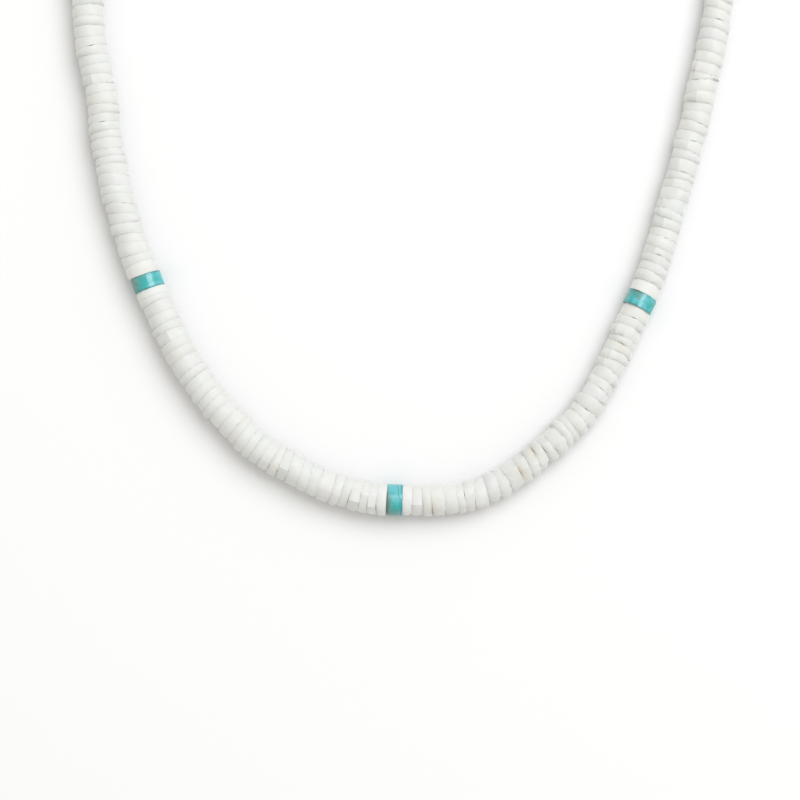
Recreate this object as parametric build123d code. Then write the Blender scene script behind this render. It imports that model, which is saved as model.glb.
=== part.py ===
from build123d import *
import os
import random
from math import pi, radians, tan

# Heishi bead necklace lying flat in a closed loop: drilled shell discs and three turquoise
# discs on one thread, closed at the back by a barrel clasp. Millimetres, +Z up from the
# surface it lies on, -Y towards the front of the necklace, +X towards the right stone,
# origin at the middle of the loop's outline on that surface.

# Shell beads
BEAD_DIAMETER = 5.9
BEAD_DIAMETER_SPREAD = 0.1  # each way, from bead to bead
BEAD_THINNEST = 1.05
BEAD_USUAL = 1.6
BEAD_THICKEST = 2.45
BEAD_RIM = 0.12  # chamfer ground along both rims
BEAD_GAP = 0.12  # least gap between the rims of two neighbours
BEAD_SEED = 27
SLACK_ROUNDS = 3  # rounds that share the spare thread out over the gaps

# Turquoise beads, placed by the thread's length from its left end in the clasp
STONE_DIAMETER = 5.8
STONE_THICKNESS = 2.75
STONE_RIM = 0.2
LEFT_STONE_AT = 154.5
MIDDLE_STONE_AT = 220.9
RIGHT_STONE_AT = 285.9

# Thread, and the play of a bead on it
THREAD_DIAMETER = 0.7
HOLE_CLEARANCE = 0.25  # from the thread to the wall of a bead's hole, all round
HEIGHT_PLAY = 0.6  # share of that clearance that a bead may sink below the thread's centre
SIDE_PLAY = 0.4  # share of it that a bead may stand to one side

# Barrel clasp, straight across the back of the loop
CLASP_LENGTH = 12.0
CLASP_DIAMETER = 6.0
CLASP_NECK_LENGTH = 1.2
CLASP_NECK_DIAMETER = 2.6
CLASP_DOME = 1.6  # length of the rounded shoulder at each end
CLASP_SEAM_WIDTH = 0.4
CLASP_SEAM_DEPTH = 0.25
CLASP_BORE_DEPTH = 1.5
CLASP_BORE_CLEARANCE = 0.05

# Bends of the thread seen from above: down the left side, round the front, up the right side,
# with the plain arch of the back at both ends. The first and last lie on the clasp's line.
BENDS = [
    (-13.0, 80.8),
    (-25.8, 78.2),
    (-39.0, 70.2),
    (-50.2, 58.0),
    (-58.0, 42.6),
    (-61.3, 25.0),
    (-59.6, 4.5),
    (-57.7, -4.0),
    (-57.0, -11.5),
    (-55.2, -21.0),
    (-51.9, -33.0),
    (-43.5, -52.1),
    (-36.9, -62.1),
    (-28.5, -71.2),
    (-16.0, -78.2),
    (-6.2, -81.1),
    (8.2, -81.2),
    (17.0, -79.0),
    (26.2, -72.4),
    (34.9, -63.7),
    (38.5, -57.0),
    (44.2, -44.6),
    (48.2, -34.8),
    (50.2, -26.3),
    (52.8, -18.5),
    (58.8, 7.0),
    (61.2, 25.0),
    (57.9, 42.6),
    (50.1, 58.0),
    (38.9, 70.2),
    (25.7, 78.2),
    (13.0, 80.8),
]
ARC_SHARE = 0.45  # share of the shorter run at a bend that its arc takes up

thread_radius = THREAD_DIAMETER / 2
hole_radius = thread_radius + HOLE_CLEARANCE
thickest = max(BEAD_DIAMETER + BEAD_DIAMETER_SPREAD, STONE_DIAMETER, CLASP_DIAMETER)
strand_height = thickest / 2
half_stone = STONE_THICKNESS / 2
thread_end = CLASP_LENGTH / 2 - CLASP_BORE_DEPTH
back_y = BENDS[0][1]


def thread_route():
    """Centre of the thread: straight runs joined by arcs as large as the runs allow."""
    ends = [(-thread_end, back_y), *BENDS, (thread_end, back_y)]
    points = [Vector(x, y, strand_height) for x, y in ends]
    radii = []
    for before, bend, after in zip(points, points[1:], points[2:]):
        run_in = bend - before
        run_out = after - bend
        half_turn = radians(run_in.get_angle(run_out)) / 2
        radii.append(ARC_SHARE * min(run_in.length, run_out.length) / tan(half_turn))
    print("arc radii", [round(radius, 1) for radius in radii])
    return FilletPolyline(*points, radius=radii)


def direction(route, station):
    """Way the thread runs at a length along it, or at its end beyond that."""
    inside = min(max(station, 0), route.length)
    return route.tangent_at(inside, position_mode=PositionMode.LENGTH)


def gap_between(route, station, following):
    """Gap that keeps the rims of two beads clear on a bend, from the stations of their centres."""
    turn = direction(route, station).get_angle(direction(route, following))
    return BEAD_GAP + strand_height * radians(turn)


def strung(route, start, thicknesses, extra):
    """Stations of beads strung one after another from start, and the station that they reach."""
    stations = []
    centre = start - half_stone
    face = start
    for thickness in thicknesses:
        first_guess = gap_between(route, centre, face + thickness)
        likely_centre = face + first_guess + thickness / 2
        gap = gap_between(route, centre, likely_centre) + extra
        centre = face + gap + thickness / 2
        face += gap + thickness
        stations.append(centre)
    return stations, face + gap_between(route, centre, face + half_stone) + extra


def beads_between(route, start, end, dice):
    """Stations and thicknesses of the shell beads that fill the thread from start to end."""
    thicknesses = []
    while sum(thicknesses) + BEAD_GAP * len(thicknesses) < end - start:
        thicknesses.append(dice.triangular(BEAD_THINNEST, BEAD_THICKEST, BEAD_USUAL))
    extra = 0
    stations, reached = strung(route, start, thicknesses, extra)
    while reached > end:
        thicknesses.pop()
        stations, reached = strung(route, start, thicknesses, extra)
    for _ in range(SLACK_ROUNDS):
        extra += (end - reached) / (len(thicknesses) + 1)
        stations, reached = strung(route, start, thicknesses, extra)
    return list(zip(stations, thicknesses))


def drilled_disc(diameter, thickness, rim):
    """Disc about Z with a hole for the thread and a chamfer round both outer edges."""
    radius = diameter / 2
    half = thickness / 2
    section = Polyline(
        (hole_radius, -half),
        (radius - rim, -half),
        (radius, rim - half),
        (radius, half - rim),
        (radius - rim, half),
        (hole_radius, half),
        close=True,
    )
    return revolve(Plane.XZ * make_face(section), Axis.Z)


def threaded(route, station, diameter, disc, side=0.0):
    """The disc on the thread, lying on the surface unless the thread holds it up."""
    lowest = strand_height - HEIGHT_PLAY * HOLE_CLEARANCE
    along = direction(route, station)
    across = along.cross(Vector(0, 0, 1))
    point = route.position_at(station, position_mode=PositionMode.LENGTH)
    centre = Vector(point.X, point.Y, max(diameter / 2, lowest)) + across * side
    return Plane(origin=centre, x_dir=(0, 0, 1), z_dir=along) * disc


def shell_beads(route, stretches, dice):
    """All the shell beads of the given stretches of thread, each its own solid."""
    discs = []
    for start, end in stretches:
        for station, thickness in beads_between(route, start, end, dice):
            diameter = BEAD_DIAMETER + dice.uniform(-1, 1) * BEAD_DIAMETER_SPREAD
            side = dice.uniform(-1, 1) * SIDE_PLAY * HOLE_CLEARANCE
            disc = drilled_disc(diameter, thickness, BEAD_RIM)
            discs.append(threaded(route, station, diameter, disc, side).solid())
    return Compound(discs)


def turquoise_bead(route, station):
    disc = drilled_disc(STONE_DIAMETER, STONE_THICKNESS, STONE_RIM)
    return threaded(route, station, STONE_DIAMETER, disc)


def thread(route):
    across = Plane(origin=route @ 0, z_dir=route % 0)
    return sweep(across * Circle(thread_radius), path=route)


def clasp():
    """Round barrel with a domed shoulder and a neck at each end, and a seam where it opens."""
    end = CLASP_LENGTH / 2
    shoulder = end - CLASP_NECK_LENGTH
    seam = CLASP_SEAM_WIDTH / 2
    radius = CLASP_DIAMETER / 2
    neck = CLASP_NECK_DIAMETER / 2
    bore = thread_radius + CLASP_BORE_CLEARANCE
    bore_end = end - CLASP_BORE_DEPTH
    dome_start = shoulder - CLASP_DOME
    right = [
        Line((seam, radius - CLASP_SEAM_DEPTH), (seam, radius)),
        Line((seam, radius), (dome_start, radius)),
        EllipticalCenterArc((dome_start, neck), CLASP_DOME, radius - neck, arc_size=90),
        Polyline((shoulder, neck), (end, neck), (end, bore), (bore_end, bore), (bore_end, 0)),
    ]
    left = [mirror(piece, about=Plane.YZ) for piece in right]
    seam_floor = Line((-seam, radius - CLASP_SEAM_DEPTH), (seam, radius - CLASP_SEAM_DEPTH))
    axis_line = Line((-bore_end, 0), (bore_end, 0))
    section = make_face([*right, *left, seam_floor, axis_line])
    return Pos(0, back_y, strand_height) * revolve(section, Axis.X)


def save(name, shape):
    export_step(shape, f"parts/{name}.step")
    print(name, "solids", len(shape.solids()), "volume", round(shape.volume, 1))


os.makedirs("parts", exist_ok=True)
route = thread_route()
dice = random.Random(BEAD_SEED)
left_stretches = [
    (CLASP_BORE_DEPTH, LEFT_STONE_AT - half_stone),
    (LEFT_STONE_AT + half_stone, MIDDLE_STONE_AT - half_stone),
]
right_stretches = [
    (MIDDLE_STONE_AT + half_stone, RIGHT_STONE_AT - half_stone),
    (RIGHT_STONE_AT + half_stone, route.length - CLASP_BORE_DEPTH),
]

save("shell_beads_left", shell_beads(route, left_stretches, dice))
save("shell_beads_right", shell_beads(route, right_stretches, dice))
save("turquoise_bead_left", turquoise_bead(route, LEFT_STONE_AT))
save("turquoise_bead_middle", turquoise_bead(route, MIDDLE_STONE_AT))
save("turquoise_bead_right", turquoise_bead(route, RIGHT_STONE_AT))
save("clasp", clasp())
save("thread", thread(route))
print("loop length", round(route.length + 2 * thread_end, 1))
print("thread by section and length", round(pi * thread_radius**2 * route.length, 1))
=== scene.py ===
import random
from math import atan2, cos, hypot, pi, radians, sin, tan
from typing import NamedTuple

import bmesh
import bpy
from bpy.props import FloatProperty, FloatVectorProperty, IntProperty, PointerProperty
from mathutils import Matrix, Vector


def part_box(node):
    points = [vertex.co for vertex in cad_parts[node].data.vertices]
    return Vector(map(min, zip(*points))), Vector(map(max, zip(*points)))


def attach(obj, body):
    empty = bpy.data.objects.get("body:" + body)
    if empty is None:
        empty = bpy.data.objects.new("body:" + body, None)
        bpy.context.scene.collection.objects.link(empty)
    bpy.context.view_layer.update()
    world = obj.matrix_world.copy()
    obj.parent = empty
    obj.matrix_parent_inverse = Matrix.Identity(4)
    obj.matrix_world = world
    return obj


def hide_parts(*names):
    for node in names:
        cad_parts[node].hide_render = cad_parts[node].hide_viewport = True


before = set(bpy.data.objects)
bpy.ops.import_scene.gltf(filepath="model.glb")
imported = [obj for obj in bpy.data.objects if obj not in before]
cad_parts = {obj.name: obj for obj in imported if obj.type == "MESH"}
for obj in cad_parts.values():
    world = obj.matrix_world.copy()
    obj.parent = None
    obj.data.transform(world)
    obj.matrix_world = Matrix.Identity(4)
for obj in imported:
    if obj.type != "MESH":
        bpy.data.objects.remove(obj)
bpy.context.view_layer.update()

bl_info = {
    "name": "Heishi Necklace",
    "version": (1, 0, 0),
    "blender": (4, 5, 0),
    "location": "3D View > Sidebar > Necklace",
    "description": "Grinds, polishes and lights a string of shell and turquoise discs",
    "category": "Object",
}

MM = 0.001  # the frame is in metres
WELD = 0.002 * MM  # points nearer than this are joined

SHELL_STRINGS = {
    "shell_beads_left": "shell_discs_left",
    "shell_beads_right": "shell_discs_right",
}
STONES = {
    "turquoise_bead_left": "turquoise_left",
    "turquoise_bead_middle": "turquoise_middle",
    "turquoise_bead_right": "turquoise_right",
}

# How the discs lean: millimetres along the thread from the middle stone, then degrees that a disc
# is turned towards the loop's outer side, that its top is tipped forward, and by which its
# neighbours differ.
LEANS = [
    (-140, 0, 0, 3),
    (-120, 2, -3, 3),
    (-99, -3, -3, 3),
    (-89, 6, -3, 3),
    (-76, 9, -3, 3),
    (-66, 4, -3, 2),
    (-44, -6, -7, 2),
    (-25, 0, -1, 2),
    (-17, -6, -1, 2),
    (-8, 0, -3, 2),
    (2, 1, -2, 2),
    (10, -5, 0, 4),
    (16, 4, -5, 6),
    (21, 2, 8, 7),
    (25, -7, 12, 7),
    (30, 7, 10, 7),
    (38, 5, 8, 6),
    (49, 7, 8, 4),
    (63, 4, 7, 3),
    (78, 6, 6, 4),
    (86, 0, 4, 4),
    (97, 9, 5, 4),
    (108, -2, 3, 4),
    (118, 7, 5, 4),
    (140, 0, 0, 3),
]

# How the discs are ground: millimetres along the thread, size beside the frame's discs, and
# roughness beside the usual.
GRINDING = [
    (-140, 1.035, 0.5),
    (-30, 1.035, 0.5),
    (-12, 1.035, 0.8),
    (8, 1.03, 1.0),
    (22, 1.0, 1.3),
    (34, 0.985, 1.3),
    (46, 0.985, 1.0),
    (62, 0.985, 0.85),
    (140, 0.985, 0.85),
]

# Slits left open by broken rims: millimetres along the thread, degrees round the disc from the
# loop's outer side (the top is 90), half the length in degrees, half the width in millimetres, and
# how far it is stained.
SLITS = [
    (-111.7, 95, 20, 0.08, 0.0),
    (-97.9, 90, 18, 0.06, 0.0),
    (-8.9, 68, 45, 0.05, 0.1),
    (-5.3, 60, 40, 0.05, 0.0),
    (-3.4, 45, 30, 0.06, 0.1),
    (7.2, 50, 45, 0.03, 0.9),
    (13.5, 98, 22, 0.05, 0.0),
    (24.1, 85, 28, 0.05, 0.7),
    (28.4, 125, 30, 0.05, 0.8),
    (31.0, 90, 20, 0.07, 0.3),
    (41.8, 90, 18, 0.05, 0.0),
    (46.2, 85, 20, 0.06, 0.0),
    (55.9, 90, 22, 0.07, 0.4),
    (61.8, 90, 20, 0.07, 0.0),
    (74.5, 90, 20, 0.07, 0.2),
    (90.4, 88, 24, 0.06, 0.0),
    (97.1, 75, 20, 0.06, 0.0),
    (99.6, 75, 18, 0.05, 0.0),
    (119.5, 82, 26, 0.08, 0.0),
]

# What each stone shows: the seed of its small faults and its part of the pattern, then its patches
# of matrix: degrees round the disc, half the length in degrees, place across the disc from one
# face (-1) to the other (1), half the breadth on that scale, and strength, which past 1 turns the
# patch from moss to the dark of a vein.
MARKS = {
    "turquoise_bead_left": (10, [(14, 54, 0.0, 3.0, 1.0), (78, 40, -1.0, 0.5, 0.5)]),
    "turquoise_bead_middle": (11, [(10, 52, -0.3, 1.8, 1.0), (62, 66, -1.0, 0.6, 1.9)]),
    "turquoise_bead_right": (2, [
        (130, 17, 0.8, 0.6, 1.1), (108, 16, 0.4, 0.6, 1.1), (18, 34, 0.8, 1.0, 0.5),
    ]),
}

# Tints of the discs: some are clean, the others creamy, pink, greenish or bluish.
TINTS = (
    *[(0.0, 0.0, 0.0)] * 3,
    (0.004, 0.0, -0.014),
    (0.004, -0.008, -0.002),
    (-0.008, 0.002, 0.0),
    (-0.004, -0.003, 0.006),
)


def length(name, description, millimetres, least=0):
    """A length that a user may change."""
    return FloatProperty(
        name=name, description=description, default=millimetres * MM, min=least * MM,
        unit="LENGTH", precision=5,
    )


def factor(name, description, default, most=1.0):
    """A share of something that a user may change."""
    return FloatProperty(
        name=name, description=description, default=default, min=0, max=most, subtype="FACTOR",
    )


def colour(name, description, default):
    """A colour that a user may change."""
    return FloatVectorProperty(
        name=name, description=description, default=default, size=3, min=0, max=1, subtype="COLOR",
    )


class ShellSettings(bpy.types.PropertyGroup):
    """How the shell discs are ground, strung and coloured."""

    groove: length("Groove", "Depth that the worn rims of two neighbours leave between them", 0.05)
    wave: length("Wave", "How far a face is ground out of flat", 0.14)
    rim: length("Rim", "How far the worn rim reaches in from each face", 0.34)
    play: length("Play", "How far a disc may stand to one side of its neighbours", 0.14)
    slant: factor("Slant", "Share of its faces' lean that a disc's band follows", 0.5)
    unevenness: factor("Unevenness", "Share of its radius that a disc is out of round", 0.03, most=0.2)
    taper: factor(
        "Taper", "Share of its radius by which the ends of a disc's band differ", 0.02, most=0.2,
    )
    seed: IntProperty(name="Seed", description="Which string of discs is ground", default=11)
    chalk: colour("Chalk", "Colour of clean shell", (0.611, 0.622, 0.603))
    cream: colour("Cream", "Colour of the shell's warmer parts", (0.611, 0.614, 0.592))
    layer: colour("Layers", "Colour that the faint growth layers turn towards", (0.52, 0.525, 0.51))
    # Dust and painted shade: the seams between discs are darkened towards this colour.
    dust_and_shade: colour("Dust", "Colour of the dust down in the seams", (0.53, 0.535, 0.515))
    stain: colour("Stain", "Colour of the few brown stains", (0.40, 0.33, 0.21))


class StoneSettings(bpy.types.PropertyGroup):
    """How the turquoise discs are cut and coloured."""

    rim: length("Rim", "How far the polished rim reaches in from each face", 0.16)
    unevenness: factor(
        "Unevenness", "Share of its radius that a stone is out of round", 0.012, most=0.2,
    )
    sky: colour("Sky", "Colour of the stone's lighter parts", (0.10, 0.41, 0.45))
    teal: colour("Teal", "Colour of most of the stone", (0.02, 0.33, 0.32))
    moss: colour("Moss", "Colour of the greenish patches of matrix", (0.11, 0.225, 0.195))
    vein: colour("Vein", "Colour of the thin dark veins", (0.03, 0.13, 0.12))


class ClaspSettings(bpy.types.PropertyGroup):
    """How the barrel clasp is finished."""

    bevel: length("Bevel", "Rounding of the barrel's turned edges", 0.12)
    silver: colour("Silver", "Colour of the bare metal", (0.80, 0.78, 0.75))
    tarnish: colour("Tarnish", "Colour of the metal where it has dulled", (0.22, 0.19, 0.16))


class ThreadSettings(bpy.types.PropertyGroup):
    """How the thread is spun."""

    ply: length("Ply", "Length of thread that one turn of its strands takes", 0.9, least=0.01)
    waxed: colour("Waxed", "Colour of the waxed thread", (0.72, 0.68, 0.60))
    # Painted shade: the colour that the thread turns down between its strands.
    furrow_shade: colour("Furrow", "Colour down between the strands", (0.42, 0.38, 0.31))


class StageSettings(bpy.types.PropertyGroup):
    """The surface the necklace lies on, its light and the camera above it."""

    floor: colour("Floor", "Colour of the surface it lies on", (0.74, 0.74, 0.74))
    key_azimuth: FloatProperty(
        name="Light from", description="Way to the window light, turned from +X towards +Y",
        default=radians(51), subtype="ANGLE",
    )
    key_height: FloatProperty(
        name="Light height", description="Height of the window light above the surface",
        default=radians(55), subtype="ANGLE",
    )
    key_size: FloatProperty(
        name="Light size", description="Angle that the window light's breadth takes up",
        default=radians(44), subtype="ANGLE",
    )
    key_distance: length(
        "Light distance", "How far the window light is from the view's centre", 1200, least=100,
    )
    key_share: factor("Light share", "Share of the light on the floor that the window gives", 0.38)
    daylight: colour("Daylight", "Colour of the window light", (0.918, 0.948, 1.0))
    room: colour(
        "Room", "Colour of the light that the room sends back from all round", (1.0, 0.98, 0.931),
    )
    brightness: factor(
        "Brightness", "Light that the open floor sends back, 1 being plain white", 1.012, most=2,
    )
    lens: length("Lens", "Focal length of the camera", 150)
    view_width: length("View width", "Breadth of the surface that the camera takes in", 152)
    view_centre: FloatVectorProperty(
        name="View centre", description="Place at bead height that the camera looks down on",
        default=(-0.95 * MM, -62.13 * MM, 3.0 * MM), size=3, subtype="TRANSLATION",
    )


class Bead(NamedTuple):
    """A disc of the frame: its node, middle, axis along the thread, radius and half thickness."""

    node: str
    centre: Vector
    along: Vector
    radius: float
    half: float


class Seam(NamedTuple):
    """Where two neighbours meet: a point and a normal, how deep their rims have worn, how far
    their faces are out of flat by angle, or None if they are flat, and the slits.
    """

    point: Vector
    normal: Vector
    groove: float = 0.0
    wave: object = None
    slits: tuple = ()


def mesh_of(bm, name):
    """Turns a bmesh into a mesh, and frees it."""
    mesh = bpy.data.meshes.new(name)
    bm.to_mesh(mesh)
    bm.free()
    return mesh


def placed(name, data):
    """A new object in the scene, at the origin."""
    thing = bpy.data.objects.new(name, data)
    bpy.context.scene.collection.objects.link(thing)
    return thing


def loose_parts(mesh):
    """Corner points of each separate solid in a CAD node's mesh."""
    bm = bmesh.new()
    bm.from_mesh(mesh)
    bmesh.ops.remove_doubles(bm, verts=bm.verts, dist=WELD)
    parts = []
    met = set()
    for first in bm.verts:
        if first in met:
            continue
        met.add(first)
        part, reached = [], [first]
        while reached:
            vert = reached.pop()
            part.append(vert.co.copy())
            for edge in vert.link_edges:
                other = edge.other_vert(vert)
                if other not in met:
                    met.add(other)
                    reached.append(other)
        parts.append(part)
    bm.free()
    return parts


def bead_of(node, points):
    """Reads a disc's place, axis and size off its corner points. Its axis is level."""
    centre = sum(points, Vector()) / len(points)
    low, high = min(p.z for p in points), max(p.z for p in points)
    centre.z = (low + high) / 2
    offsets = [p - centre for p in points]
    xx, yy, xy = (sum(o[i] * o[j] for o in offsets) for i, j in ((0, 0), (1, 1), (0, 1)))
    across = atan2(2 * xy, xx - yy) / 2
    along = Vector((-sin(across), cos(across), 0))
    half = max(abs(o.dot(along)) for o in offsets)
    return Bead(node, centre, along, (high - low) / 2, half)


def strung_beads():
    """Every disc in its order on the thread, from the clasp's left end round to its right."""
    waiting = [
        bead_of(node, points)
        for node in (*SHELL_STRINGS, *STONES)
        for points in loose_parts(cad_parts[node].data)
    ]
    low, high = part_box("clasp")
    here = Vector((low.x, (low.y + high.y) / 2, (low.z + high.z) / 2))
    beads = []
    while waiting:
        bead = min(waiting, key=lambda one: (one.centre - here).length)
        waiting.remove(bead)
        if bead.along.dot(bead.centre - here) < 0:
            bead = bead._replace(along=-bead.along)
        beads.append(bead)
        here = bead.centre
    return beads


def values_at(table, reach):
    """Values of a table at a distance along the thread from the middle stone."""
    reach /= MM
    for (start, *first), (end, *last) in zip(table, table[1:]):
        if start <= reach <= end:
            share = (reach - start) / (end - start)
            return [a + (b - a) * share for a, b in zip(first, last)]
    return table[0][1:] if reach < table[0][0] else table[-1][1:]


def outward(along):
    """Level direction across the thread, towards the loop's outer side."""
    return along.cross(Vector((0, 0, 1))).normalized()


def seam_normal(along, turn, tip):
    """Normal of a seam whose discs are turned towards the outer side and tipped forward."""
    return (along + outward(along) * tan(turn) - Vector((0, 0, 1)) * tan(tip)).normalized()


FAINTEST = 0.3  # least height of a random wave, beside its highest
GROOVE_SPREAD = (0.4, 1.6)  # least and most of the usual groove
KEPT_LEAN = 0.35  # share of its random lean that a seam hands on to the next
STEADIED = 0.2  # share of the random lean that is left beside a stone
SEEN = 121 * MM  # reach of the photo along the thread, each way from the middle stone
SLIT_CHANCE = 0.08  # of a slit in a seam past that reach
SLIT_PLACES = (30, 150)  # degrees round the disc between which it opens
UNSEEN_SLIT = (radians(22), 0.06 * MM, 0.0)  # its half length, half width and stain
EASING_ROUNDS = 12


def low_waves(dice, size, counts=(2, 3, 5)):
    """A smooth random function of an angle, the same each turn and within about size."""
    waves = [
        (count, dice.uniform(FAINTEST, 1) * size / 2, dice.uniform(0, 2 * pi)) for count in counts
    ]
    return lambda angle: sum(height * cos(count * angle + phase) for count, height, phase in waves)


def hump(angle, at, half_length):
    """A rounded hump over an angle: 1 at its middle, and 0 from half its length away."""
    off = (angle - at + pi) % (2 * pi) - pi
    return max(0.0, 1 - (off / half_length) ** 2)


def reach_along(beads):
    """Distance of each bead along the thread from the middle stone."""
    middle = next(i for i, bead in enumerate(beads) if bead.node == "turquoise_bead_middle")
    reaches = [0.0]
    for one, other in zip(beads, beads[1:]):
        reaches.append(reaches[-1] + (other.centre - one.centre).length)
    return [reach - reaches[middle] for reach in reaches]


def slits_near(before, after, dice):
    """Slits of the seam between two beads, from their distances along the thread."""
    found = [
        (radians(at), radians(half_length), width * MM, stain)
        for reach, at, half_length, width, stain in SLITS
        if before <= reach * MM < after
    ]
    unseen = max(abs(before), abs(after)) > SEEN
    if dice.random() < SLIT_CHANCE and unseen:
        found.append((radians(dice.uniform(*SLIT_PLACES)), *UNSEEN_SLIT))
    return tuple(found)


def seams_of(beads, shell, dice):
    """The seams before, between and after the beads, one more than there are beads."""
    reaches = reach_along(beads)
    first, last = beads[0], beads[-1]
    seams = [Seam(first.centre - first.along * first.half, first.along)]
    wander = [0.0, 0.0]
    for i, (one, other) in enumerate(zip(beads, beads[1:])):
        by_stone = one.node in STONES or other.node in STONES
        reach = (reaches[i] + reaches[i + 1]) / 2
        turn, tip, differ = (radians(angle) for angle in values_at(LEANS, reach))
        rough = values_at(GRINDING, reach)[1]
        wander = [KEPT_LEAN * angle + dice.gauss(0, differ) for angle in wander]
        loose = STEADIED if by_stone else 1.0
        near_face = one.centre + one.along * one.half
        far_face = other.centre - other.along * other.half
        along = (one.along + other.along).normalized()
        groove = shell.groove * rough * dice.uniform(*GROOVE_SPREAD)
        wave = low_waves(dice, shell.wave * rough, (1, 2, 3))
        slits = slits_near(reaches[i], reaches[i + 1], dice)
        seams.append(Seam(
            (near_face + far_face) / 2,
            seam_normal(along, turn + loose * wander[0], tip + loose * wander[1]),
            groove, None if by_stone else wave, () if by_stone else slits,
        ))
    seams.append(Seam(last.centre + last.along * last.half, last.along))
    keep_thickness(beads, seams)
    return seams


def keep_thickness(beads, seams):
    """Eases the leans of the seams until each disc keeps some thickness all round."""
    for _ in range(EASING_ROUNDS):
        for i, bead in enumerate(beads):
            near, far = seams[i], seams[i + 1]
            thickness = (far.point - near.point).dot(bead.along)
            lean = far.normal - near.normal
            allowed = max(0.0, thickness - THINNEST) / bead.radius
            if lean.length <= allowed:
                continue
            excess = lean * (1 - allowed / lean.length)
            share = excess / max(1, bool(near.wave) + bool(far.wave))
            if near.wave:
                seams[i] = near._replace(normal=(near.normal + share).normalized())
            if far.wave:
                seams[i + 1] = far._replace(normal=(far.normal - share).normalized())


HOLE, EDGE, BAND = 0.2, 0.965, 1.0  # rings of a plain disc, as shares of its radius
SAME, NEARLY = 1e-5, 0.001  # on that disc: points that are one, and play in telling rings
EDGE_CREASE = 0.9  # keeps the edge of a face when a disc is smoothed
TALLEST = 6.12 * MM  # height that no disc exceeds
THINNEST = 0.5 * MM  # least thickness of a disc at its rim
RESTING = 0.01 * MM  # space under a disc
HANGING = 2.78 * MM  # least height of a disc's middle, as the thread holds it
BAND_SHARE = 0.9  # share of a disc's thickness that its rims leave to the band
OUTER_REACH = radians(60)  # how far round from the loop's outer side discs have rubbed most
PATTERN_REACH = 50 * MM  # half the stretch of a pattern that the discs are cut from

# Corners of the shell discs, at the usual roughness.
SHELL_SIDES = 12
CORNER_SHIFT = 0.34  # how far they are off, as a share of their spacing
CORNER_TURN = 0.5  # radians by which neighbours are out of line
CRISP = 0.2  # share that is left crisp
WAVY, SMALLER, CUT_BACK = 0.7, 0.6, 0.5  # waves, sizes and cuts beside the unevenness

# Worn rims and seams, beside the settings for the rim and the groove.
RIM_SPREAD = (0.5, 1.6)  # least and most from disc to disc
RIM_WAVE, RIM_LEAST = 1.2, 0.25  # change round a disc, and what is left at least
RUBBED, RUBBED_OUTSIDE = 0.75, 0.75  # all round, and added on the loop's outer side
CHIP_SPREAD = (0.8, 2.0)  # least and most depth of a chip
CHIP_ANGLES = (16, 34)  # degrees that half a chip is long
SMOOTH_RIM = 0.4  # width on a smooth disc
RIM_ROOM = 0.4  # share of a disc's thickness, at most
GROOVED, GROOVED_OUTSIDE = 0.6, 4.0  # all round, and added on the loop's outer side
SLIT_INSIDE = 0.3  # how wide a slit stays towards the hole
STAIN_REACH = 1.5  # length of a stain beside its slit's
BAND_STAIN = 0.3  # share of a slit's stain on the bands beside it
RIM_DEPTH, EDGE_DEPTH, FACE_DEPTH = 0.1, 0.5, 1.0  # seam_depth of the three, 0 along a band

STONE_SIDES = 32
STONE_LEVELS = (1, 0.8, 0.3)  # rings across half of a stone's band
CLEAN_CUT = 1.03  # shade of a shell disc beside a stone
SHADES = 0.016  # how far the others usually are below 1

# The barrel clasp: radii as shares of the barrel's, then lengths.
CLASP_NECK, CLASP_BORE = 0.433, 0.14
CLASP_NECK_LENGTH = 1.2 * MM
CLASP_BORE_DEPTH = 1.5 * MM
CLASP_DOME = 1.6 * MM  # length of the rounded shoulder at each end
CLASP_SEAM = 0.2 * MM  # half the width of the seam where it opens
CLASP_GROOVE = 0.25 * MM  # depth of that seam
UNRUBBED = 0.9 * CLASP_GROOVE  # depth below the barrel from which the metal has dulled
DULL = 0.8  # how far it has dulled
DOME_STEPS = 6
BARREL_SIDES = 64
SHARP = radians(40)  # edges turned more than this are eased


def plain_disc(sides, band_levels=(1,)):
    """A drilled disc about Z with radius 1 and half thickness 1, spun from half its section."""
    side = [(HOLE, 1), (EDGE, 1)] + [(BAND, level) for level in band_levels]
    section = side + [(radius, -level) for radius, level in reversed(side)]
    bm = bmesh.new()
    corners = [bm.verts.new((radius, 0, level)) for radius, level in section]
    edges = [bm.edges.new(pair) for pair in zip(corners, corners[1:] + corners[:1])]
    bmesh.ops.spin(
        bm, geom=corners + edges, cent=(0, 0, 0), axis=(0, 0, 1), angle=2 * pi, steps=sides,
        use_merge=True,
    )
    bmesh.ops.remove_doubles(bm, verts=bm.verts, dist=SAME)
    bmesh.ops.recalc_face_normals(bm, faces=bm.faces)
    crease = bm.edges.layers.float.new("crease_edge")
    for edge in bm.edges:
        if all(abs(hypot(*vert.co.xy) - EDGE) < NEARLY for vert in edge.verts):
            edge[crease] = EDGE_CREASE
            edge.smooth = False
    return mesh_of(bm, "plain_disc")


class Corner(NamedTuple):
    """A corner of a disc's outline: its angle, its share of the radius, and if it is crisp."""

    angle: float
    share: float
    crisp: bool = False


def spaced(dice, start, end, count, shift):
    """Angles from start up to end, each shifted by up to a share of the space between them."""
    step = (end - start) / count
    return [start] + [start + step * (i + dice.uniform(-shift, shift)) for i in range(1, count)]


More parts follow.
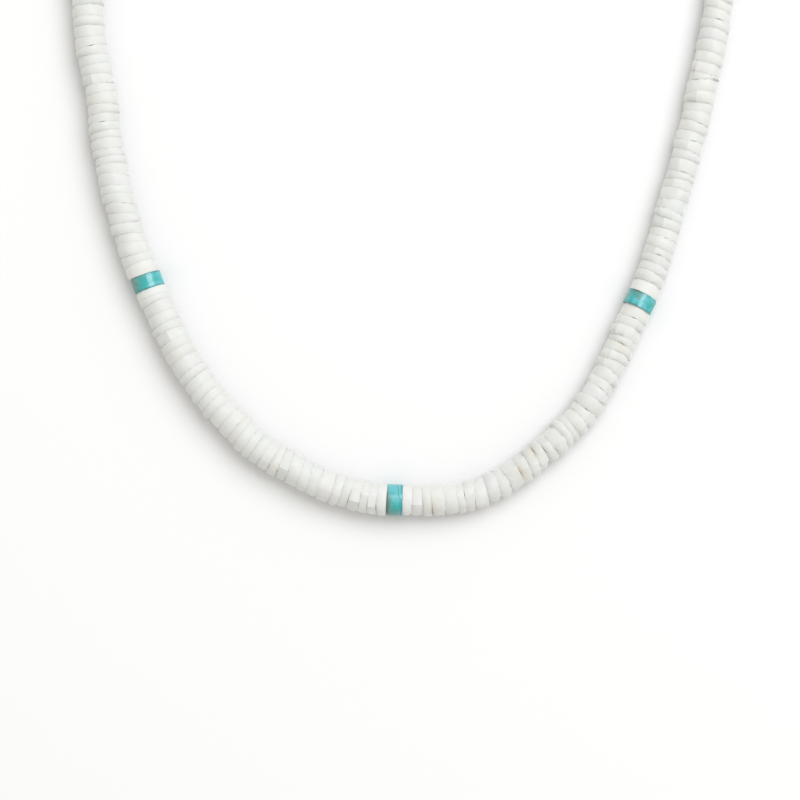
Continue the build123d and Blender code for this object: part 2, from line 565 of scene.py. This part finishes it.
def chopped_outline(dice, size, unevenness, crisp, rough, slits):
    """Corners of one disc, chopped and ground by hand. A slit in its face takes three of them.

    Smooth neighbours were ground together, so that their corners nearly line up.
    """
    shift = CORNER_SHIFT * rough
    if slits:
        at, half_length = slits[0][:2]
        ends = (at + half_length, at - half_length + 2 * pi)
        angles = spaced(dice, *ends, SHELL_SIDES - 2, shift) + [ends[1], at + 2 * pi]
    else:
        first = dice.gauss(0, CORNER_TURN * rough**2)
        angles = spaced(dice, first, first + 2 * pi, SHELL_SIDES, shift)
    wave = low_waves(dice, WAVY * unevenness)
    size *= 1 - dice.uniform(0, SMALLER) * unevenness
    corners = []
    for angle in angles:
        share = size + wave(angle) - dice.uniform(0, CUT_BACK) * unevenness
        corners.append(Corner(angle, share, dice.random() < crisp))
    return corners


def round_outline(dice, size, unevenness):
    """Corners of a disc that is cut true."""
    wave = low_waves(dice, unevenness)
    angles = [2 * pi * i / STONE_SIDES for i in range(STONE_SIDES)]
    return [Corner(angle, size + wave(angle)) for angle in angles]


def chipped_rim(dice, rim, chips, most):
    """Width of the worn rim of a disc's face by angle, with a few chips broken out of it."""
    usual = rim * dice.uniform(*RIM_SPREAD)
    wave = low_waves(dice, RIM_WAVE)
    broken = []
    for _ in range(dice.choice(chips)):
        at, half_length = dice.uniform(0, 2 * pi), radians(dice.uniform(*CHIP_ANGLES))
        broken.append((at, half_length, rim * dice.uniform(*CHIP_SPREAD)))

    def width(angle):
        chipped = sum(depth * hump(angle, *place) for *place, depth in broken)
        rubbed = RUBBED + RUBBED_OUTSIDE * hump(angle, 0, OUTER_REACH)
        return min(most, usual * rubbed * max(RIM_LEAST, 1 + wave(angle)) + chipped)

    return width


class Blank(NamedTuple):
    """A disc on the thread before its rims wear: middle, axis, radius, corners and taper."""

    centre: Vector
    axis: Vector
    radius: float
    corners: list
    taper: object


def strung_blank(bead, near, far, slant, side, corners, taper):
    """The disc pushed to one side on the thread, and let down onto the surface.

    Slant is the share of its faces' lean that its band follows. With none, bands are flush.
    """
    axis = bead.along.lerp((near.normal + far.normal).normalized(), slant).normalized()
    heights = [
        sin(corner.angle) * (corner.share + way * taper(corner.angle))
        for corner in corners for way in (-1, 1)
    ]
    tallest = TALLEST - 2 * BAND_SHARE * bead.half * abs(axis.z)
    radius = min(bead.radius, tallest / (max(heights) - min(heights)))
    height = max(RESTING - min(heights) * radius, HANGING)
    centre = bead.centre + outward(bead.along) * side
    return Blank(Vector((centre.x, centre.y, height)), axis, radius, corners, taper)


def radius_at(blank, way, angle):
    """Radius of a blank at an angle, at its far end if way is 1 or its near end if -1."""
    for one, other in zip(blank.corners, blank.corners[1:] + blank.corners[:1]):
        span = (other.angle - one.angle) % (2 * pi)
        off = (angle - one.angle) % (2 * pi)
        if off <= span:
            break
    share = one.share + (other.share - one.share) * off / span
    flat = cos(span / 2) / cos(off - span / 2)
    return blank.radius * (share * flat + way * blank.taper(angle))


def height_over(blank, neighbour, way, spoke, angle):
    """Radius at which the neighbour's outline lies, from the middle of the blank."""
    if neighbour is None:
        return blank.radius
    return radius_at(neighbour, -way, angle) + (neighbour.centre - blank.centre).dot(spoke)


class Cut(NamedTuple):
    """How a blank is finished: the widths of its rims by angle, the blanks next to it, its place
    in the material's pattern, its tone, and its patches of matrix.
    """

    near_rim: object
    far_rim: object
    before: object
    after: object
    grain: Vector
    tone: tuple = (1, 1, 1, 1)
    matrix: tuple = ()


def fit_disc(bm, plain, blank, half, near, far, cut, swell=1.0):
    """Adds the plain disc to bm, fitted between its two seams.

    Swell makes good what a later smoothing takes off the radius.
    """
    vert_count, edge_count = len(bm.verts), len(bm.edges)
    bm.from_mesh(plain)
    bm.verts.ensure_lookup_table()
    bm.edges.ensure_lookup_table()
    verts, edges = bm.verts[vert_count:], bm.edges[edge_count:]
    axis = blank.axis
    out = outward(axis)
    up = out.cross(axis)
    sides = len(blank.corners)
    depth = bm.verts.layers.float["seam_depth"]
    tone = bm.verts.layers.float_color["tone"]
    grain = bm.verts.layers.float_vector["grain_place"]
    stain = bm.verts.layers.float["stain"]
    lowest = blank.centre.z
    corner_of = {}
    for vert in verts:
        ring, level = hypot(vert.co.x, vert.co.y), vert.co.z
        on_band, on_edge = ring > BAND - NEARLY, ring > EDGE - NEARLY
        corner = blank.corners[round(atan2(vert.co.y, vert.co.x) / (2 * pi) * sides) % sides]
        angle = corner.angle
        spoke = out * cos(angle) + up * sin(angle)
        if level > 0:
            seam, rim, neighbour, way = far, cut.far_rim, cut.after, 1
        else:
            seam, rim, neighbour, way = near, cut.near_rim, cut.before, -1
        radius = blank.radius * ring
        if on_edge:
            corner_of[vert] = corner
            radius = blank.radius * (corner.share + way * blank.taper(angle))
        if on_edge and not on_band:
            groove = seam.groove * (GROOVED + GROOVED_OUTSIDE * hump(angle, 0, OUTER_REACH))
            radius = min(radius, height_over(blank, neighbour, way, spoke, angle)) - groove
        radius *= swell if on_edge else 1
        point = blank.centre + spoke * radius
        reach = (seam.point - point).dot(seam.normal) / axis.dot(seam.normal)
        inset = -way * (seam.wave(angle) * ring if seam.wave else 0)
        for at, half_length, open_width, stained in seam.slits:
            inset += open_width * hump(angle, at, half_length) * (1 if on_edge else SLIT_INSIDE)
            spread = stained * hump(angle, at, STAIN_REACH * half_length)
            vert[stain] = max(vert[stain], spread * (BAND_STAIN if on_band else 1))
        for at, half_length, place, half_breadth, strength in cut.matrix:
            covered = max(0.0, 1 - ((level - place) / half_breadth) ** 2)
            patch = strength * hump(angle, radians(at), radians(half_length)) * covered
            vert[stain] = max(vert[stain], patch)
        if on_band:
            inset += rim(angle) + (1 - abs(level)) * half
            vert[depth] = RIM_DEPTH if abs(level) > 1 - NEARLY else 0.0
        else:
            vert[depth] = EDGE_DEPTH if on_edge else FACE_DEPTH
        vert.co = point + axis * (reach - way * inset)
        across = (vert.co - blank.centre).dot(axis)
        vert[grain] = Vector((radius * cos(angle), radius * sin(angle), across)) + cut.grain
        vert[tone] = cut.tone
        lowest = min(lowest, vert.co.z + spoke.z * radius * (1 / swell - 1))
    bmesh.ops.translate(bm, verts=verts, vec=(0, 0, max(0.0, RESTING - lowest)))
    for edge in edges:
        first, second = (corner_of.get(vert) for vert in edge.verts)
        if first and first is second and first.crisp:
            edge.smooth = False


def discs_bmesh():
    """A bmesh for discs, with the values that the materials read at each of their points."""
    bm = bmesh.new()
    bm.edges.layers.float.new("crease_edge")
    bm.verts.layers.float.new("seam_depth")
    bm.verts.layers.float.new("stain")
    bm.verts.layers.float_vector.new("grain_place")
    bm.verts.layers.float_color.new("tone")
    return bm


def finish_piece(bm, name, material, nodes, smoothing=0):
    """Makes a piece from bm that stands in for CAD nodes, with its material and slot."""
    for face in bm.faces:
        face.smooth = True
    piece = placed(name, mesh_of(bm, name))
    piece.data.materials.append(material)
    if smoothing:
        rounding = piece.modifiers.new("Rounding", "SUBSURF")
        rounding.levels = rounding.render_levels = smoothing
    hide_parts(*nodes)
    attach(piece, "root")


def set_inputs(tree, node, inputs):
    """Links a node's inputs to the sockets given, or sets them to the values given."""
    for name, value in inputs.items():
        if isinstance(value, bpy.types.NodeSocket):
            tree.links.new(value, node.inputs[name])
        else:
            node.inputs[name].default_value = value


def add_node(tree, kind, inputs, output=0, **settings):
    """Adds a shader node with its settings and inputs, and returns one of its outputs."""
    node = tree.nodes.new(f"ShaderNode{kind}")
    for name, value in settings.items():
        setattr(node, name, value)
    set_inputs(tree, node, inputs)
    return node.outputs[output]


def maths(tree, operation, *values, **settings):
    """Result of one operation on values."""
    return add_node(tree, "Math", dict(enumerate(values)), operation=operation, **settings)


def ranged(tree, value, start=0.0, end=1.0, low=0.0, high=1.0, smooth=False):
    """A value between start and end turned into one between low and high."""
    return add_node(tree, "MapRange", {
        "Value": value, "From Min": start, "From Max": end, "To Min": low, "To Max": high,
    }, interpolation_type="SMOOTHSTEP" if smooth else "LINEAR")


def noise(tree, place, scale, detail, roughness=0.5):
    """A noise from 0 to 1, with its scale in rounds per metre."""
    return add_node(tree, "TexNoise", {
        "Vector": place, "Scale": scale, "Detail": detail, "Roughness": roughness,
    })


def attribute(tree, name, output="Fac"):
    """One of a piece's own attributes."""
    return add_node(tree, "Attribute", {}, output, attribute_name=name)


MIX_INPUTS, MIX_OUTPUT = (0, 6, 7), 2  # the Mix node's sockets for a share and colours


def mixed(tree, share, first, second, blend="MIX"):
    """A colour turned into a second one by a share, which is a mask or a value."""
    first, second = (
        one if isinstance(one, bpy.types.NodeSocket) else (*one, 1.0) for one in (first, second)
    )
    inputs = dict(zip(MIX_INPUTS, (share, first, second)))
    return add_node(tree, "Mix", inputs, MIX_OUTPUT, data_type="RGBA", blend_type=blend)


def bumped(tree, height, distance, strength):
    """Normal of a surface with a height."""
    inputs = {"Height": height, "Distance": distance, "Strength": strength}
    return add_node(tree, "Bump", inputs)


def effect(tree, name, build, inputs, output):
    """Places an effect in a material, as a node group that all the materials share."""
    group = bpy.data.node_groups.get(name)
    if group is None:
        group = bpy.data.node_groups.new(name, "ShaderNodeTree")
        new_socket = group.interface.new_socket
        for socket in inputs:
            kind = "NodeSocketVector" if socket == "Place" else "NodeSocketFloat"
            new_socket(name=socket, in_out="INPUT", socket_type=kind)
        new_socket(name=output, in_out="OUTPUT", socket_type="NodeSocketFloat")
        result = build(group, group.nodes.new("NodeGroupInput").outputs)
        group.links.new(result, group.nodes.new("NodeGroupOutput").inputs[output])
    return add_node(tree, "Group", inputs, node_tree=group)


def mottle(tree, place, size, cover, softness):
    """Soft patches of a given size, from 0 to 1, over a share of the surface."""
    def build(group, given):
        per_metre = maths(group, "DIVIDE", 1.0, given["Size"])
        patches = noise(group, given["Place"], scale=per_metre, detail=3.0, roughness=0.55)
        edge = maths(group, "SUBTRACT", 0.75, given["Cover"])
        start = maths(group, "SUBTRACT", edge, given["Softness"])
        end = maths(group, "ADD", edge, given["Softness"])
        return ranged(group, patches, start=start, end=end, smooth=True)

    inputs = {"Place": place, "Size": size, "Cover": cover, "Softness": softness}
    return effect(tree, "mottle", build, inputs, "Mask")


def wheel_grain(tree, place, scratches, dimples):
    """Height of the fine scratches and dimples that the wheel leaves."""
    def build(group, given):
        drawn = add_node(group, "Mapping", {"Vector": given["Place"], "Scale": (1.0, 1.0, 0.16)})
        scratched = noise(group, drawn, scale=9000.0, detail=2.0, roughness=0.6)
        dimpled = noise(group, given["Place"], scale=1500.0, detail=3.0, roughness=0.6)
        fine = maths(group, "MULTIPLY", scratched, given["Scratches"])
        return maths(group, "MULTIPLY_ADD", dimpled, given["Dimples"], fine)

    inputs = {"Place": place, "Scratches": scratches, "Dimples": dimples}
    return effect(tree, "wheel_grain", build, inputs, "Height")


def new_material(name):
    """An empty material, its nodes, and its shader joined to its output."""
    material = bpy.data.materials.new(name)
    material.use_nodes = True
    tree = material.node_tree
    tree.nodes.clear()
    shader = tree.nodes.new("ShaderNodeBsdfPrincipled")
    output = tree.nodes.new("ShaderNodeOutputMaterial")
    tree.links.new(shader.outputs["BSDF"], output.inputs["Surface"])
    return material, tree, shader


def seam_dust_and_shade(tree, place, most):
    """Mask of dust and painted shade: darker down in the seams, broken up by a noise."""
    broken = noise(tree, place, scale=700.0, detail=3.0)
    patchy = ranged(tree, broken, start=0.35, end=0.65, low=0.35 * most, high=most)
    deep = ranged(tree, attribute(tree, "seam_depth"), start=0.12, end=0.5, smooth=True)
    return maths(tree, "MULTIPLY", deep, patchy)


def growth_layers(tree, place):
    """Faint wandering layers, slanted through the shell."""
    slanted = add_node(tree, "Mapping", {"Vector": place, "Rotation": (0.5, 0.9, 0.0)})
    layers = add_node(tree, "TexWave", {
        "Vector": slanted, "Scale": 170.0, "Distortion": 6.0, "Detail": 3.0, "Detail Scale": 1.2,
    }, "Fac")
    return ranged(tree, layers, high=0.12)


def shell_material(shell):
    """Ground sea shell: chalky and satin, with faint layers, seams darkened by dust and painted shade,
    and some stains.
    """
    material, tree, shader = new_material("ground_shell")
    place = attribute(tree, "grain_place", "Vector")
    creamy = mottle(tree, place, size=2.4 * MM, cover=0.30, softness=0.12)
    base = mixed(tree, creamy, shell.chalk, shell.cream)
    base = mixed(tree, growth_layers(tree, place), base, shell.layer)
    base = mixed(tree, 1.0, base, attribute(tree, "tone", "Color"), "MULTIPLY")
    # Dust and painted shade darken the colour down in the seams between discs.
    base = mixed(tree, seam_dust_and_shade(tree, place, most=0.2), base, shell.dust_and_shade)
    blotchy = mottle(tree, place, size=0.9 * MM, cover=0.36, softness=0.1)
    stained = maths(tree, "MULTIPLY", attribute(tree, "stain"), blotchy)
    grain = wheel_grain(tree, place, scratches=0.35, dimples=1.0)
    set_inputs(tree, shader, {
        "Base Color": mixed(tree, stained, base, shell.stain),
        "Roughness": ranged(tree, creamy, low=0.5, high=0.62),
        "Specular IOR Level": 0.35,
        "Sheen Weight": 0.5,
        "Normal": bumped(tree, grain, distance=0.05 * MM, strength=0.8),
    })
    return material


def stone_veins(tree, place):
    """Thin veins along the middle level of a noise, in some parts of the stone."""
    wandering = noise(tree, place, scale=220.0, detail=1.5)
    off = maths(tree, "ABSOLUTE", maths(tree, "SUBTRACT", wandering, 0.5))
    thin = ranged(tree, off, start=0.002, end=0.03, low=0.5, high=0.0, smooth=True)
    here = mottle(tree, place, size=2.2 * MM, cover=0.2, softness=0.1)
    return maths(tree, "MULTIPLY", thin, here)


def stone_border(tree, place):
    """A darker colour along the rims of a stone's band, broken up in places."""
    beside = ranged(tree, attribute(tree, "seam_depth"), end=0.12, smooth=True)
    broken = mottle(tree, place, size=1.8 * MM, cover=0.26, softness=0.12)
    return maths(tree, "MULTIPLY", beside, ranged(tree, broken, low=0.1, high=0.7))


def stone_material(stone):
    """Polished turquoise: clouded blue-green with mossy matrix and thin dark veins."""
    material, tree, shader = new_material("polished_turquoise")
    place = attribute(tree, "grain_place", "Vector")
    matrix = attribute(tree, "stain")
    clouds = mottle(tree, place, size=2.2 * MM, cover=0.27, softness=0.09)
    base = mixed(tree, clouds, stone.teal, stone.sky)
    ragged = mottle(tree, place, size=1.1 * MM, cover=0.25, softness=0.25)
    ragged = ranged(tree, ragged, low=0.55, high=1.35)
    mossy = maths(tree, "MULTIPLY", matrix, ragged, use_clamp=True)
    base = mixed(tree, mossy, base, stone.moss)
    deep = ranged(tree, matrix, start=1.0, end=1.9, high=0.85)
    base = mixed(tree, deep, base, stone.vein)
    base = mixed(tree, stone_veins(tree, place), base, stone.vein)
    grain = wheel_grain(tree, place, scratches=0.12, dimples=0.8)
    set_inputs(tree, shader, {
        "Base Color": mixed(tree, stone_border(tree, place), base, stone.vein),
        "Roughness": ranged(tree, mossy, low=0.2, high=0.36),
        "IOR": 1.6,
        "Normal": bumped(tree, grain, distance=0.03 * MM, strength=0.25),
    })
    return material


def silver_material(clasp):
    """Turned silver, brushed round the barrel and dulled where nothing rubs it."""
    material, tree, shader = new_material("turned_silver")
    place = add_node(tree, "TexCoord", {}, "Object")
    clouded = mottle(tree, place, size=3.0 * MM, cover=0.24, softness=0.14)
    clouded = maths(tree, "MULTIPLY", clouded, 0.35)
    worn = maths(tree, "MAXIMUM", clouded, attribute(tree, "seam_depth"))
    round_the_barrel = add_node(tree, "Mapping", {"Vector": place, "Scale": (1.0, 0.02, 0.02)})
    brushed = noise(tree, round_the_barrel, scale=22000.0, detail=2.0)
    set_inputs(tree, shader, {
        "Base Color": mixed(tree, worn, clasp.silver, clasp.tarnish),
        "Metallic": 1.0,
        "Roughness": ranged(tree, worn, low=0.22, high=0.5),
        "Normal": bumped(tree, brushed, distance=0.01 * MM, strength=0.35),
    })
    return material


def thread_material(thread):
    """Waxed thread: twisted strands with a dull sheen, and painted shade down between them."""
    material, tree, shader = new_material("waxed_thread")
    place = add_node(tree, "TexCoord", {}, "Object")
    twisted = add_node(tree, "Mapping", {"Vector": place, "Rotation": (0.0, 0.7, 0.8)})
    strands = add_node(tree, "TexWave", {
        "Vector": twisted, "Scale": 0.3 / thread.ply, "Distortion": 1.5, "Detail": 1.0,
    }, "Fac")
    shade = ranged(tree, strands, high=0.45)
    set_inputs(tree, shader, {
        # Painted shade between the strands, drawn from the same waves as the bumps.
        "Base Color": mixed(tree, shade, thread.waxed, thread.furrow_shade),
        "Roughness": ranged(tree, strands, low=0.5, high=0.7),
        "Normal": bumped(tree, strands, distance=0.06 * MM, strength=1.0),
    })
    return material


def shell_tone(dice, by_stone):
    """Shade and tint of one disc, a little lighter beside a stone, where it was cut clean."""
    shade = CLEAN_CUT if by_stone else 1 - abs(dice.gauss(0, SHADES))
    return (*(shade + part for part in dice.choice(TINTS)), 1.0)


def random_place(dice):
    """A place in a material's pattern, another for each disc."""
    return Vector([dice.uniform(-PATTERN_REACH, PATTERN_REACH) for _ in range(3)])


def shell_blanks(shell, beads, seams, grinding, dice):
    """The chopped discs on the thread, with None where a stone is."""
    blanks = []
    for bead, near, far, (size, rough) in zip(beads, seams, seams[1:], grinding):
        crisp = CRISP * rough**2 if near.wave and far.wave else 0.0
        slits = near.slits + far.slits
        outline = chopped_outline(dice, size, shell.unevenness * rough, crisp, rough, slits)
        taper = low_waves(dice, shell.taper * rough, (0, 1, 2))
        side = dice.uniform(-1, 1) * shell.play
        blank = strung_blank(bead, near, far, shell.slant * rough, side, outline, taper)
        blanks.append(None if bead.node in STONES else blank)
    return blanks


def shell_strings(shell):
    """Both strings of shell discs, each disc ground a little differently."""
    dice = random.Random(shell.seed)
    beads = strung_beads()
    seams = seams_of(beads, shell, dice)
    grinding = [values_at(GRINDING, reach) for reach in reach_along(beads)]
    blanks = shell_blanks(shell, beads, seams, grinding, dice)
    plain = plain_disc(SHELL_SIDES)
    strings = {node: discs_bmesh() for node in SHELL_STRINGS}
    for i, (bead, blank) in enumerate(zip(beads, blanks)):
        if blank is None:
            continue
        near, far = seams[i], seams[i + 1]
        most = RIM_ROOM * (far.point - near.point).length
        before, after = ([None] + blanks + [None])[i:i + 3:2]
        rim = shell.rim * (SMOOTH_RIM + (1 - SMOOTH_RIM) * grinding[i][1])
        rims = [chipped_rim(dice, rim, (0, 1, 1, 2), most) for _ in range(2)]
        by_stone = any(beads[j].node in STONES for j in (i - 1, i + 1) if 0 <= j < len(beads))
        cut = Cut(*rims, before, after, random_place(dice), shell_tone(dice, by_stone))
        fit_disc(strings[bead.node], plain, blank, bead.half, near, far, cut)
    bpy.data.meshes.remove(plain)
    material = shell_material(shell)
    for node, name in SHELL_STRINGS.items():
        finish_piece(strings[node], name, material, [node])


def turquoise_stones(stone, shell):
    """The three turquoise discs, cut true, with rounded rims."""
    beads = strung_beads()
    seams = seams_of(beads, shell, random.Random(shell.seed))
    swell = 4 / (3 + cos(2 * pi / STONE_SIDES))
    plain = plain_disc(STONE_SIDES, STONE_LEVELS)
    material = stone_material(stone)
    for bead, near, far, reach in zip(beads, seams, seams[1:], reach_along(beads)):
        if bead.node not in STONES:
            continue
        seed, matrix = MARKS[bead.node]
        dice = random.Random(seed)
        bm = discs_bmesh()
        outline = round_outline(dice, values_at(GRINDING, reach)[0], stone.unevenness)
        blank = strung_blank(bead, near, far, 1.0, 0.0, outline, lambda angle: 0.0)
        rims = [chipped_rim(dice, stone.rim, (0, 1), stone.rim * 2) for _ in range(2)]
        cut = Cut(*rims, None, None, random_place(dice), matrix=matrix)
        fit_disc(bm, plain, blank, bead.half, near, far, cut, swell)
        finish_piece(bm, STONES[bead.node], material, [bead.node], smoothing=2)
    bpy.data.meshes.remove(plain)


def clasp_section(end, radius):
    """Half the clasp's section, from the seam in its middle to the floor of one bore."""
    neck, bore, shoulder = CLASP_NECK * radius, CLASP_BORE * radius, end - CLASP_NECK_LENGTH
    half = [(CLASP_SEAM, radius - CLASP_GROOVE), (CLASP_SEAM, radius)]
    for i in range(DOME_STEPS + 1):
        turned = i / DOME_STEPS * pi / 2
        half.append((
            shoulder - CLASP_DOME + CLASP_DOME * sin(turned), neck + (radius - neck) * cos(turned),
        ))
    floor = end - CLASP_BORE_DEPTH
    return half + [(end, neck), (end, bore), (floor, bore), (floor, 0)]


def barrel_clasp(clasp):
    """The barrel clasp, turned and eased, dulled in its seam, on its shoulders and in its bores."""
    low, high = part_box("clasp")
    end, radius = (high.x - low.x) / 2, (high.z - low.z) / 2
    half = clasp_section(end, radius)
    bm = bmesh.new()
    depth = bm.verts.layers.float.new("seam_depth")
    section = [(-x, r) for x, r in reversed(half)] + half
    corners = [bm.verts.new((x, 0, r)) for x, r in section]
    for corner in corners:
        hollow = corner.co.z < radius - UNRUBBED and abs(corner.co.x) < end - CLASP_NECK_LENGTH
        corner[depth] = DULL if hollow else 0.0
    edges = [bm.edges.new(pair) for pair in zip(corners, corners[1:])]
    bmesh.ops.spin(
        bm, geom=corners + edges, cent=(0, 0, 0), axis=(1, 0, 0), angle=2 * pi,
        steps=BARREL_SIDES, use_merge=True,
    )
    bmesh.ops.remove_doubles(bm, verts=bm.verts, dist=WELD)
    bmesh.ops.recalc_face_normals(bm, faces=bm.faces)
    sharp = [edge for edge in bm.edges if edge.is_manifold and edge.calc_face_angle() > SHARP]
    bmesh.ops.bevel(
        bm, geom=sharp, offset=clasp.bevel, segments=3, profile=0.5, affect="EDGES", material=-1,
    )
    bmesh.ops.translate(bm, verts=bm.verts, vec=(low + high) / 2)
    finish_piece(bm, "barrel_clasp", silver_material(clasp), ["clasp"])


def dressed_thread(thread):
    """The thread keeps its CAD form and gets its twisted, waxed finish."""
    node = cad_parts["thread"]
    node.data.materials.clear()
    node.data.materials.append(thread_material(thread))


FLOOR_REACH = 2.0  # half the side of the floor, in metres
CLIP = (0.01, 20.0)  # nearest and furthest that the camera sees, in metres


def white_floor(stage):
    """The pale surface that the necklace lies on."""
    bm = bmesh.new()
    bmesh.ops.create_grid(bm, x_segments=1, y_segments=1, size=FLOOR_REACH)
    floor = placed("floor", mesh_of(bm, "floor"))
    material, tree, shader = new_material("pale_floor")
    set_inputs(tree, shader, {
        "Base Color": (*stage.floor, 1.0), "Roughness": 0.9, "Specular IOR Level": 0.0,
    })
    floor.data.materials.append(material)


def window_light(stage):
    """One broad, soft light high on the right, and an even pale room all round."""
    distance = stage.key_distance
    radius = distance * tan(stage.key_size / 2)
    level, rise = cos(stage.key_height), sin(stage.key_height)
    way = Vector((level * cos(stage.key_azimuth), level * sin(stage.key_azimuth), rise))
    white = stage.brightness * 3 / sum(stage.floor)
    light = bpy.data.lights.new("window", "AREA")
    light.shape = "DISK"
    light.color = stage.daylight
    light.size = 2 * radius
    # A disc lamp of power P and area A sends out P / (pi A). The floor gets that times the
    # area and the height's sine, over the distance squared.
    spread = pi * pi * (distance**2 + radius**2) / rise
    light.energy = white * stage.key_share * spread / stage.daylight[1]
    lamp = placed("window", light)
    lamp.location = Vector(stage.view_centre) + way * distance
    lamp.rotation_euler = way.to_track_quat("Z", "Y").to_euler()
    world = bpy.data.worlds.new("pale_room")
    world.use_nodes = True
    set_inputs(world.node_tree, world.node_tree.nodes["Background"], {
        "Color": (*stage.room, 1.0),
        "Strength": white * (1 - stage.key_share) / stage.room[1],
    })
    bpy.context.scene.world = world


def camera_above(stage):
    """The camera looks straight down on the front of the necklace."""
    camera = bpy.data.cameras.new("camera")
    camera.lens = stage.lens / MM
    camera.clip_start, camera.clip_end = CLIP
    height = stage.view_width * camera.lens / camera.sensor_width
    above = placed("camera", camera)
    above.location = Vector(stage.view_centre) + Vector((0, 0, height))
    bpy.context.scene.camera = above
    bpy.context.scene.view_settings.view_transform = "Standard"


class NECKLACE_OT_stage(bpy.types.Operator):
    """Lay the pale floor, hang the light and set the camera"""

    bl_idname = "necklace.stage"
    bl_label = "Stage"

    def execute(self, context):
        stage = context.scene.necklace_stage
        camera_above(stage)
        white_floor(stage)
        window_light(stage)
        return {"FINISHED"}


class NECKLACE_OT_shell(bpy.types.Operator):
    """Grind and string the shell discs"""

    bl_idname = "necklace.shell"
    bl_label = "Shell discs"

    def execute(self, context):
        shell_strings(context.scene.necklace_shell)
        return {"FINISHED"}


class NECKLACE_OT_turquoise(bpy.types.Operator):
    """Cut and polish the turquoise discs"""

    bl_idname = "necklace.turquoise"
    bl_label = "Turquoise discs"

    def execute(self, context):
        turquoise_stones(context.scene.necklace_stone, context.scene.necklace_shell)
        return {"FINISHED"}


class NECKLACE_OT_clasp(bpy.types.Operator):
    """Turn the barrel clasp"""

    bl_idname = "necklace.clasp"
    bl_label = "Barrel clasp"

    def execute(self, context):
        barrel_clasp(context.scene.necklace_clasp)
        return {"FINISHED"}


class NECKLACE_OT_thread(bpy.types.Operator):
    """Finish the thread"""

    bl_idname = "necklace.thread"
    bl_label = "Thread"

    def execute(self, context):
        dressed_thread(context.scene.necklace_thread)
        return {"FINISHED"}


class NECKLACE_PT_panel(bpy.types.Panel):
    """The necklace's steps in the sidebar"""

    bl_idname = "NECKLACE_PT_panel"
    bl_label = "Necklace"
    bl_space_type = "VIEW_3D"
    bl_region_type = "UI"
    bl_category = "Necklace"

    def draw(self, context):
        for operator, settings, _ in STEPS:
            box = self.layout.box()
            box.operator(operator.bl_idname)
            group = getattr(context.scene, settings)
            for name in group.__annotations__:
                box.prop(group, name)


# Each operator, the name of its settings in the scene, and their class.
STEPS = (
    (NECKLACE_OT_stage, "necklace_stage", StageSettings),
    (NECKLACE_OT_shell, "necklace_shell", ShellSettings),
    (NECKLACE_OT_turquoise, "necklace_stone", StoneSettings),
    (NECKLACE_OT_clasp, "necklace_clasp", ClaspSettings),
    (NECKLACE_OT_thread, "necklace_thread", ThreadSettings),
)


def register():
    for operator, name, settings in STEPS:
        bpy.utils.register_class(settings)
        setattr(bpy.types.Scene, name, PointerProperty(type=settings))
        bpy.utils.register_class(operator)
    bpy.utils.register_class(NECKLACE_PT_panel)


def unregister():
    bpy.utils.unregister_class(NECKLACE_PT_panel)
    for operator, name, settings in reversed(STEPS):
        bpy.utils.unregister_class(operator)
        delattr(bpy.types.Scene, name)
        bpy.utils.unregister_class(settings)


def main():
    register()
    bpy.ops.necklace.stage()
    bpy.ops.necklace.shell()
    bpy.ops.necklace.turquoise()
    bpy.ops.necklace.clasp()
    bpy.ops.necklace.thread()


if __name__ == "__main__":
    main()
